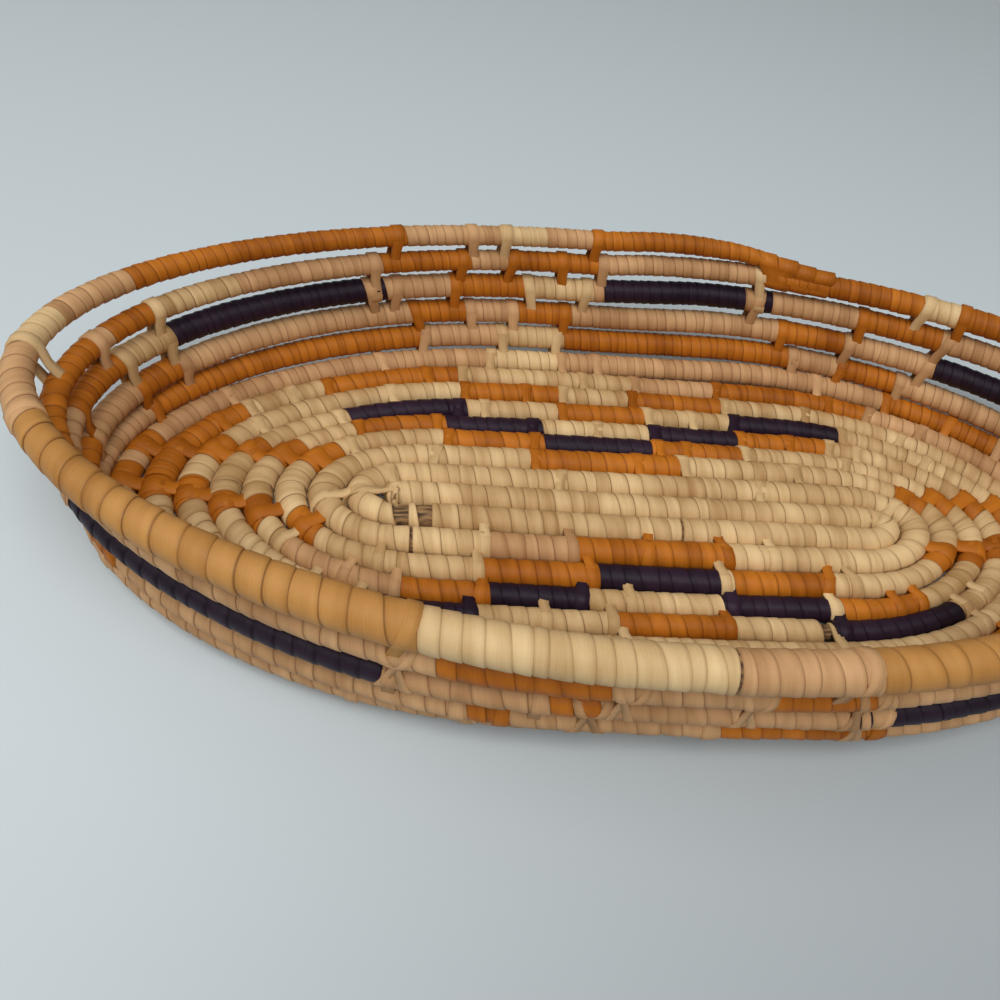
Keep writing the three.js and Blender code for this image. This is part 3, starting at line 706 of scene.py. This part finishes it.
# Short lengths of another colour within those runs, by side and round: from and to in
# metres along the bowl, and the dye. A worn spot shows as narrow as it says only where the
# strip on its left is short too.
PATCHES = {
    ("back", 2): ((-0.039, 0.017, "orange"),),
    ("back", 3): ((-0.071, -0.034, "orange"), (0.0093, 0.043, "orange")),
    ("back", 4): ((-0.104, -0.071, "orange"), (0.0087, 0.012, "purple"),
                  (0.0432, 0.079, "orange")),
    ("back", 5): ((-0.071, -0.0625, "purple"), (-0.027, 0.007, "orange"),
                  (0.0418, 0.049, "purple")),
    ("back", 6): ((-0.065, -0.026, "orange"), (0.002, 0.040, "orange")),
    ("back", 7): ((-0.169, -0.145, "orange"), (-0.145, -0.118, "natural"),
                  (-0.118, -0.066, "orange"), (-0.066, 0.004, "natural"),
                  (0.038, 0.101, "orange")),
    ("back", 8): ((-0.055, -0.026, "natural"), (0.109, 0.150, "orange")),
    ("back", 9): ((-0.200, -0.177, "tan"), (-0.082, -0.0508, "tan"),
                  (-0.0508, -0.0245, "natural"), (0.070, 0.090, "tan"),
                  (0.113, 0.190, "tan")),
    ("back", 10): ((-0.179, -0.1675, "orange"), (-0.086, -0.0645, "orange"),
                   (-0.0435, -0.0223, "orange"), (0.063, 0.090, "orange")),
    ("back", 11): ((-0.190, -0.182, "orange"), (-0.182, -0.168, "natural"),
                   (-0.0995, -0.0975, "purple"), (-0.071, -0.042, "orange"),
                   (-0.042, -0.0155, "natural"), (0.054, 0.057, "purple"),
                   (0.091, 0.122, "orange")),
    ("back", 12): ((-0.1869, -0.1835, "tan"), (-0.173, -0.148, "natural"),
                   (-0.148, -0.098, "tan"), (-0.065, -0.0505, "tan"),
                   (-0.0148, 0.0515, "tan"), (0.110, 0.123, "cream")),
    ("back", 13): ((-0.205, -0.199, "tan"), (-0.199, -0.1945, "cream"),
                   (-0.1945, -0.178, "tan"), (-0.0895, -0.054, "tan"),
                   (-0.054, -0.036, "cream"), (-0.036, -0.0185, "tan")),
    ("front", 0): ((-0.0845, -0.0835, "bare"), (-0.0765, -0.0755, "bare"),
                   (0.0110, 0.0118, "natural"), (0.0118, 0.0128, "bare")),
    ("front", 1): ((-0.0837, -0.0829, "natural"), (-0.0829, -0.0815, "bare"),
                   (-0.053, -0.023, "tan"), (-0.023, 0.031, "orange")),
    ("front", 2): ((-0.055, -0.017, "orange"), (0.029, 0.066, "orange")),
    ("front", 3): ((-0.120, -0.082, "tan"), (-0.082, -0.054, "orange"),
                   (0.066, 0.098, "orange")),
    ("front", 4): ((-0.011, 0.028, "orange"), (0.100, 0.110, "purple")),
    ("front", 6): ((0.080, 0.128, "orange"),),
    ("front", 7): ((-0.010, 0.050, "orange"),),
    ("front", 9): ((-0.165, -0.062, "tan"), (-0.050, 0.010, "tan"), (0.060, 0.110, "tan")),
    ("front", 10): ((-0.041, -0.026, "orange"), (0.0455, 0.050, "purple"),
                    (0.056, 0.074, "purple")),
    ("front", 11): ((-0.205, -0.1792, "orange"), (-0.0725, -0.027, "orange"),
                    (0.017, 0.0465, "orange"), (0.110, 0.150, "orange")),
    ("front", 12): ((-0.205, -0.1883, "tan"), (-0.1883, -0.078, "honey"),
                    (-0.078, -0.0003, "cream"), (-0.0003, 0.0005, "cream"),
                    (0.0005, 0.0017, "bare"), (0.0017, 0.041, "tan"),
                    (0.041, 0.200, "honey")),
}
patches = [(*turns_between(*here, low, high), dye)
           for here, spans in PATCHES.items() for low, high, dye in spans]


def length_at(turn):
    return float(np.interp(turn, turns, lengths))


def turn_of(length):
    return float(np.interp(length, lengths, turns))


# Orange marks on one base round after another, in two rows at each end of the bowl that
# close in towards its tip: the first mark's turn, how far off the tip it is in turns, and
# the share of that which each next one keeps
MARK_ROWS = ((3, 0.065, 0.82), (3, -0.06, 0.55), (2.5, -0.08, 0.75), (2.5, 0.05, 0.55))
MARK_COUNT = 6
HALF_MARK = 0.006
marks = [tip + step + off * kept ** step
         for tip, off, kept in MARK_ROWS for step in range(MARK_COUNT)]
for mark in marks:
    middle = length_at(mark)
    patches.append((turn_of(middle - HALF_MARK), turn_of(middle + HALF_MARK), "orange"))

# How wide a strip shows: narrow inside the back wall, broad on the front and the rim
BASE_WRAP = 0.0056
BACK_WRAP = 0.0038
FRONT_WRAP = 0.0062
RIM_WRAP = 0.0056
BROAD_RIM_WRAP = 0.0084


def wrap_width(turn, dye):
    wall = BACK_WRAP if turn % 1 < 0.5 else FRONT_WRAP
    wall = mix(BASE_WRAP, wall, blend(turn, BASE_END - 1, WALL_FROM))
    rim = BROAD_RIM_WRAP if dye == "honey" else RIM_WRAP
    on_rim = blend(turn, RIM_FROM, RIM_FULL) * (1 - blend(turn, RIM_THINS, RIM_THIN_BY))
    return mix(wall, rim, on_rim)


UNEVEN = 0.3
LABEL_STEP = 200
CLOSEST = 0.0004
rng = np.random.default_rng(11)
names = {}
stretches = []
for number, (start, end, own_dye) in enumerate(runs):
    side = "back" if (start + end) / 2 % 1 < 0.5 else "front"
    where = "whole" if end - start > WHOLE_SHARE else side
    stem = f"round_{int(start + SAME_TURN):02d}_{where}_{own_dye}"
    names[stem] = names.get(stem, 0) + 1
    node = stem if names[stem] == 1 else f"{stem}_{names[stem]}"
    cuts = {start, end}
    for low, high, _ in patches:
        cuts |= {cut for cut in (low, high) if start + CLOSEST < cut < end - CLOSEST}
    cuts = sorted(cuts)
    places, numbers = [], []
    for low, high in zip(cuts, cuts[1:]):
        middle = (low + high) / 2
        dye = own_dye
        for patch_low, patch_high, patch_dye in patches:
            if patch_low < middle < patch_high:
                dye = patch_dye
        from_length, to_length = length_at(low), length_at(high)
        if abs(low - bare_turn) < SAME_TURN:
            from_length += BARE_LENGTH
        count = max(1, round((to_length - from_length) / wrap_width(middle, dye)))
        edges = np.arange(count) + rng.uniform(-UNEVEN, UNEVEN, count) * (np.arange(count) > 0)
        places += list(from_length + (to_length - from_length) * edges / count)
        numbers += [(dyes + ["bare"]).index(dye)] * count
        if stretches and stretches[-1][2] == dye and abs(stretches[-1][1] - low) < SAME_TURN:
            stretches[-1] = (stretches[-1][0], high, dye)
        else:
            stretches.append((low, high, dye))
    places.append(to_length)
    numbers.append(numbers[-1])
    edge_mesh = bpy.data.meshes.new(node)
    edge_mesh.vertices.add(len(places))
    edge_mesh.attributes.new("place", "FLOAT", "POINT").data.foreach_set("value", places)
    edge_mesh.attributes.new("dye", "INT", "POINT").data.foreach_set("value", numbers)
    width = (places[-1] - places[0]) / (len(places) - 1)
    piece = placed("leaf_" + node, edge_mesh, wrapping, course=course, wrap=width,
                   label=float(number * LABEL_STEP), bare=grass, **dict(zip(dyes, leaves)))
    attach(piece, "root")
    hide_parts(node)

# Ties: at both ends of each colour, and every few centimetres between, a strip goes round
# its own coil and the one below and draws them together, with a waist where it passes
# between them. They cross the grooves of the base and hold the openwork of the wall.
TIE_ARC = 6
TIE_ROWS = 4
TIE_SINK = 0.0003
TIE_BELLY = 0.0009
TIE_EDGE_SHARE = 0.14
TIE_EDGE_UNSEEN = 0.03
TIE_WAIST = 0.5
TIE_PINCH = 0.85
tying, tie_in, tie_out = new_tree(
    "ties", "GeometryNodeTree",
    [("Geometry", "Geometry", None), ("Course", "Object", None), ("Arc", "Int", TIE_ARC),
     ("Sink", "Float", TIE_SINK), ("Belly", "Float", TIE_BELLY), ("Pinch", "Float", TIE_PINCH),
     ("Leaf", "Material", None)],
    [("Geometry", "Geometry")])
T = tying
to_lower = maths(T, "ADD", tie_in["Arc"], 2)
all_columns = maths(T, "MULTIPLY", to_lower, 2)
band = add(T, "GeometryNodeMeshGrid", 1, 1, maths(T, "ADD", all_columns, 1), TIE_ROWS + 1)
copies = add(T, "GeometryNodeInstanceOnPoints", tie_in["Geometry"])
T.links.new(band.outputs[0], copies.inputs["Instance"])
copies = add(T, "GeometryNodeRealizeInstances", copies)
loop_share, row_share = grid_shares(T)
# Columns of the band: an arc over the upper coil, a waist, an arc under the lower coil, a
# waist, and the first column again
column = maths(T, "ROUND", maths(T, "MULTIPLY", loop_share, all_columns))
column = maths(T, "MODULO", column, all_columns)
on_lower = maths(T, "GREATER_THAN", column, maths(T, "SUBTRACT", to_lower, 0.5))
in_half = maths(T, "MODULO", column, to_lower)
at_waist = maths(T, "GREATER_THAN", in_half, maths(T, "ADD", tie_in["Arc"], 0.5))
turned = maths(T, "DIVIDE", maths(T, "MINIMUM", in_half, tie_in["Arc"]), tie_in["Arc"])
turned = maths(T, "MULTIPLY", maths(T, "ADD", turned, on_lower), np.pi)
upper = place_on_course(T, tie_in["Course"], stored(T, "top"))
lower = place_on_course(T, tie_in["Course"], stored(T, "foot"))
rising = vectors(T, "NORMALIZE", vectors(T, "SUBTRACT", upper["Middle"], lower["Middle"]))
running = vectors(T, "NORMALIZE", vectors(T, "ADD", upper["Along"], lower["Along"]))
facing = vectors(T, "NORMALIZE", vectors(T, "CROSS_PRODUCT", running, rising))
# Rows: an edge sunk in the wraps, the face from side to side, the other edge, and back
row = maths(T, "ROUND", maths(T, "MULTIPLY", row_share, TIE_ROWS))
row = maths(T, "MODULO", row, TIE_ROWS)
row_angle = maths(T, "MULTIPLY", row, np.pi / (TIE_ROWS - 1))
on_face = maths(T, "GREATER_THAN", maths(T, "SINE", row_angle), 0.5)
lift = maths(T, "SUBTRACT", maths(T, "MULTIPLY", on_face, tie_in["Belly"]), tie_in["Sink"])
narrow = between(T, at_waist, 1, tie_in["Pinch"])
side_sign = maths(T, "SIGN", maths(T, "COSINE", row_angle))
sideways = maths(T, "MULTIPLY", maths(T, "MULTIPLY", stored(T, "half_width"), narrow),
                 maths(T, "MULTIPLY", side_sign,
                       maths(T, "MULTIPLY_ADD", on_face, -TIE_EDGE_SHARE, 1)))
sideways = maths(T, "ADD", sideways,
                 maths(T, "MULTIPLY", stored(T, "slant"), maths(T, "COSINE", turned)))
held = maths(T, "MULTIPLY", lower["Radius"], stored(T, "grip"))
arm = maths(T, "ADD", between(T, on_lower, upper["Radius"], held), lift)
own_middle = between(T, on_lower, upper["Middle"], lower["Middle"], "VECTOR")
out_by = vectors(T, "SCALE", facing, maths(T, "MULTIPLY", arm, maths(T, "COSINE", turned)))
up_by = vectors(T, "SCALE", rising, maths(T, "MULTIPLY", arm, maths(T, "SINE", turned)))
on_arc = vectors(T, "ADD", own_middle, vectors(T, "ADD", out_by, up_by))
waist_arm = maths(T, "MULTIPLY_ADD", upper["Radius"], stored(T, "waist"), lift)
halfway = vectors(T, "SCALE", vectors(T, "ADD", upper["Middle"], lower["Middle"]), 0.5)
in_gap = vectors(T, "ADD", halfway, vectors(T, "SCALE", facing,
                 maths(T, "MULTIPLY", waist_arm, maths(T, "COSINE", turned))))
point = between(T, at_waist, on_arc, in_gap, "VECTOR")
point = vectors(T, "ADD", point, vectors(T, "SCALE", running, sideways))
# The tie's edges sit just inside the strip map, so the leaf's painted seam shade shows on them
# only in part
tie_across = maths(T, "MINIMUM", maths(T, "MULTIPLY", row_share, TIE_ROWS / (TIE_ROWS - 1)), 1)
tie_across = maths(T, "MULTIPLY_ADD", tie_across, 1 - 2 * TIE_EDGE_UNSEEN, TIE_EDGE_UNSEEN)
shape = with_strip_map(T, copies, loop_share, maths(T, "ADD", tie_across, stored(T, "number")))
hand_out(T, shape, point, [tie_in["Leaf"]], tie_out)

BASE_TIE = 0.0022
WALL_TIE = 0.0023
END_TIE = 0.0034
STEP_TIE = 0.0026
TIE_SPACING = 0.06
TIE_STRAYS = 0.3
TIE_SLANT = 0.0003
LEAST_APART = 0.009
FIRST_TIED = 1.02
# The first rounds are drawn on to the start's tip, and the rim's tip on to the round below
START_TIES = (0.985, 1.975)
TIP_TIES = (0.003, 0.0105, 0.018, 0.0255)
TIP_TIE = 0.0042
TIP_WAIST = 0.85
DEEP_GRIP = 0.68
# Crossed ties on the outside of the front wall, by round, in metres along the bowl
CROSSED = {11: (-0.082, -0.0205, 0.0145, 0.0467), 10: (-0.0285, 0.0525)}
CROSS_SPREAD = 0.005
CROSS_TIE = 0.0015
# Ties that go right over the coil below, from the round above the purple bars
STRAPS = (("back", 12, -0.1004, "tan"), ("back", 12, 0.0495, "cream"))
# Where a colour changes in the open with no tie
UNTIED = (("back", 12, -0.148), ("back", 13, -0.178), ("back", 13, -0.1945))
# The ladder of ties in the middle of the back wall, by round, in metres along the bowl
LADDER = {13: (-0.0923, -0.0643, -0.0515, -0.0165), 12: (-0.0674, -0.0481, -0.0284, -0.0125),
          11: (-0.0920, -0.0695, -0.0400, -0.0175), 10: (-0.0840, -0.0624, -0.0455, -0.0245),
          9: (-0.0800, -0.0490, -0.0265)}
LADDER_SPAN = (-0.099, 0.050)


def below_on(turn):
    """The length at which the round below passes nearest to the coil at a turn."""
    here = round(turn * STATIONS)
    first = max(0, here - round(NEIGHBOUR_TO * STATIONS))
    candidates = points[first:max(1, here - round(NEIGHBOUR_FROM * STATIONS))]
    nearest = np.argmin(np.linalg.norm(candidates - points[here], axis=1))
    return float(lengths[first + int(nearest)])


def dye_at(turn):
    return next(dye for low, high, dye in stretches if low <= turn <= high)


tie_places = []


def tie(turn, dye, half_width, slant=TIE_SLANT, grip=DEEP_GRIP, aside=0, apart=LEAST_APART,
        waist=TIE_WAIST):
    """Notes a tie, unless another stands too near: deep in the round below, or over it."""
    top = length_at(turn)
    if all(abs(top - other[1]) > apart for other in tie_places):
        foot = min(max(below_on(turn) + aside, 0), lengths[-1])
        tie_places.append((dye, top, foot, half_width, slant, grip, waist))


for mark in marks:
    tie(mark, "orange", END_TIE, 0)
for turn in START_TIES:
    tie(turn, "natural", BASE_TIE, aside=BASE_TIE)
for inward in TIP_TIES:
    tie(turn_of(lengths[-1] - inward), "orange", TIP_TIE, 0, 1, 0, 0, TIP_WAIST)
for side, number, where, dye in STRAPS:
    tie(turn_at(side, number, where), dye, WALL_TIE, grip=1)
for number, places in CROSSED.items():
    for where in places:
        for aside in (-CROSS_SPREAD, CROSS_SPREAD):
            turn = turn_of(length_at(turn_at("front", number, where)) + aside / 2)
            tie(turn, "tan", CROSS_TIE, 0, 1, -aside, 0)
for number, places in LADDER.items():
    for where in places:
        turn = turn_at("back", number, where)
        tie(turn, dye_at(turn), WALL_TIE)
untied = [turn_at(*place) for place in UNTIED]
for (_, _, before), (low, high, after) in zip(stretches, stretches[1:]):
    where = float(np.interp(low, turns, coil_x))
    in_ladder = low > WALL_FROM and low % 1 < 0.5 and LADDER_SPAN[0] < where < LADDER_SPAN[1]
    at_untied = min(np.abs(np.subtract(untied, low))) < CLOSEST
    if low < FIRST_TIED or "bare" in (before, after) or in_ladder or at_untied:
        continue
    half_width = WALL_TIE if low > WALL_FROM else BASE_TIE
    own_length = length_at(low)
    past_middle = low % 0.5 > 0.25
    if low < WALL_FROM and (before, past_middle) == ("purple", False):
        tie(turn_of(own_length - STEP_TIE), before, STEP_TIE)
    elif low < WALL_FROM and (after, past_middle) == ("purple", True):
        tie(turn_of(own_length + STEP_TIE), after, STEP_TIE)
    elif after == "purple":
        tie(turn_of(own_length - half_width), before, half_width)
    else:
        tie(turn_of(own_length + half_width), after, half_width)
for low, high, dye in stretches:
    start, stop = length_at(max(low, FIRST_TIED)), length_at(high)
    if FIRST_TIED < high and low < WALL_FROM and dye not in ("bare", "purple"):
        count = round((stop - start) / TIE_SPACING)
        for tied in start + (stop - start) * (np.arange(count) + 0.5) / max(count, 1):
            tied += rng.uniform(-TIE_STRAYS, TIE_STRAYS) * TIE_SPACING
            tie(turn_of(tied), dye, BASE_TIE)

TIE_VALUES = ("number", "top", "foot", "half_width", "slant", "grip", "waist")
for dye, leaf in zip(dyes, leaves):
    mine = [(number, *rest) for number, (own_dye, *rest) in enumerate(tie_places)
            if own_dye == dye]
    if not mine:
        continue
    tie_mesh = bpy.data.meshes.new("ties_" + dye)
    tie_mesh.vertices.add(len(mine))
    for label, values in zip(TIE_VALUES, zip(*mine)):
        tie_mesh.attributes.new(label, "FLOAT", "POINT").data.foreach_set(
            "value", [float(value) for value in values])
    piece = placed("ties_" + dye, tie_mesh, tying, course=course, leaf=leaf)
    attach(piece, "root")

# The table under the bowl: a plain pale sheet, with a soft painted shadow in front of the
# bowl's right-hand end. It is stage, and no part of the object.
HALF_SHEET = 4
# The paper's colour in the middle of the painted shadow, and its plain colour beyond it
TABLE_IN_SHADOW = (0.33, 0.365, 0.385, 1)
TABLE_PALE = (0.58, 0.65, 0.68, 1)
TABLE_ROUGHNESS = 0.9
SHADE_MIDDLE = (0.18, -0.38, 0)
SHADE_REACH = (0.18, 0.5)
sheet_mesh = bpy.data.meshes.new("backdrop")
corners = [(HALF_SHEET * across, HALF_SHEET * away, 0)
           for across, away in ((-1, -1), (1, -1), (1, 1), (-1, 1))]
sheet_mesh.from_pydata(corners, [], [(0, 1, 2, 3)])
floor = in_scene("backdrop", sheet_mesh)
paper, tree, surface = shaded("backdrop_paper", TABLE_ROUGHNESS)
# Painted shadow: the paper darkens towards the shade's middle
from_shade = vectors(tree, "DISTANCE", add(tree, "ShaderNodeTexCoord").outputs["Object"],
                     SHADE_MIDDLE)
paper_tone = between(tree, eased(tree, from_shade, *SHADE_REACH), TABLE_IN_SHADOW, TABLE_PALE, "RGBA")
tree.links.new(result_of(paper_tone), surface.inputs["Base Color"])
sheet_mesh.materials.append(paper)

# The light: a faint warm daylight all round and three soft lamps, a window on the left,
# the sky above and the room in front. Each lamp: watts, metres across, and place.
DAYLIGHT = (1, 0.985, 0.96, 1)
DAYLIGHT_STRENGTH = 0.14
LAMPS = {"window": (3, 0.6, (-0.8, -0.05, 0.75)), "sky": (2.5, 1.3, (-0.1, 0.3, 1.5)),
         "room": (14, 0.9, (0.05, -0.68, 1.2))}
world = bpy.data.worlds.new("daylight")
world.use_nodes = True
world.node_tree.nodes["Background"].inputs["Color"].default_value = DAYLIGHT
world.node_tree.nodes["Background"].inputs["Strength"].default_value = DAYLIGHT_STRENGTH
bpy.context.scene.world = world
for name, (power, size, place) in LAMPS.items():
    lamp = bpy.data.lights.new(name, "AREA")
    lamp.energy = power
    lamp.size = size
    lamp_object = in_scene(name, lamp)
    lamp_object.location = place
    lamp_object.rotation_euler = (-Vector(place)).to_track_quat("-Z", "Y").to_euler()

# The photograph's view: from in front, a little to the left, and well above
AZIMUTH, ELEVATION, ROLL = np.radians((-8.04, 48.21, 9.58))
DISTANCE = 0.3507
AIM = (-0.0443, 0.0089, 0)
SENSOR = 36
FOCAL_SHARE = 0.9651
NEAREST_SEEN = 0.01
back = Vector((np.sin(AZIMUTH) * np.cos(ELEVATION), -np.cos(AZIMUTH) * np.cos(ELEVATION),
               np.sin(ELEVATION)))
level_right = (-back).cross(Vector((0, 0, 1))).normalized()
level_up = level_right.cross(-back)
view_right = level_right * np.cos(ROLL) + level_up * np.sin(ROLL)
view_up = level_up * np.cos(ROLL) - level_right * np.sin(ROLL)
camera_data = bpy.data.cameras.new("view")
camera_data.sensor_width = SENSOR
camera_data.lens = FOCAL_SHARE * SENSOR
camera_data.clip_start = NEAREST_SEEN
camera = in_scene("view", camera_data)
facing_bowl = Matrix((view_right, view_up, back)).transposed().to_4x4()
camera.matrix_world = Matrix.Translation(Vector(AIM) + back * DISTANCE) @ facing_bowl
bpy.context.scene.camera = camera
bpy.context.scene.view_settings.view_transform = "Standard"

bpy.data.objects.remove(course)
